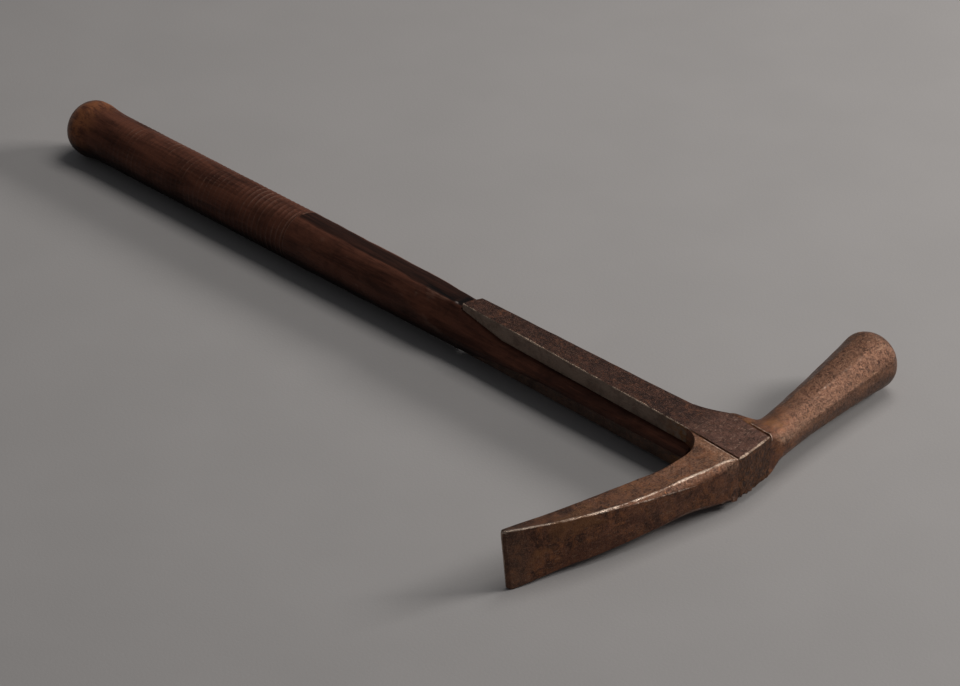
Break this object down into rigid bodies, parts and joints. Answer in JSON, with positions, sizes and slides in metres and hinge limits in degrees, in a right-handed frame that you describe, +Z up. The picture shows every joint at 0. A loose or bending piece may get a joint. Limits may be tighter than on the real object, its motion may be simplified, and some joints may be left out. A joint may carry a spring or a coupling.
{
  "type": "strapped brick hammer",
  "caption": "Strapped bricklayer's hammer: curved cutting blade and round poll on a turned hardwood handle, held by a riveted iron strap over the crown.",
  "frame": {"origin": "under the middle of the tool's box, on the surface that the tool lies on", "axes": "+X along the handle from the butt to the crown, +Y from the blade's edge to the struck face, +Z up from the surface that the tool lies on"},
  "size_m": [0.4, 0.213, 0.0256],
  "materials": {
    "head_steel": "forged steel with a brown patina, fine pitting and bright worn edges",
    "strap_iron": "wrought iron with a dark red-brown patina and specks of rust",
    "handle_wood": "dark hardwood with turned rings and the sheen of long handling",
    "rivet_iron": "wrought iron filed flush with the strap"
  },
  "bodies": {
    "root": {"head": "head_steel", "strap": "strap_iron", "handle": "handle_wood", "strap_rivet_1": "rivet_iron", "strap_rivet_2": "rivet_iron", "strap_rivet_3": "rivet_iron"}
  },
  "joints": []
}
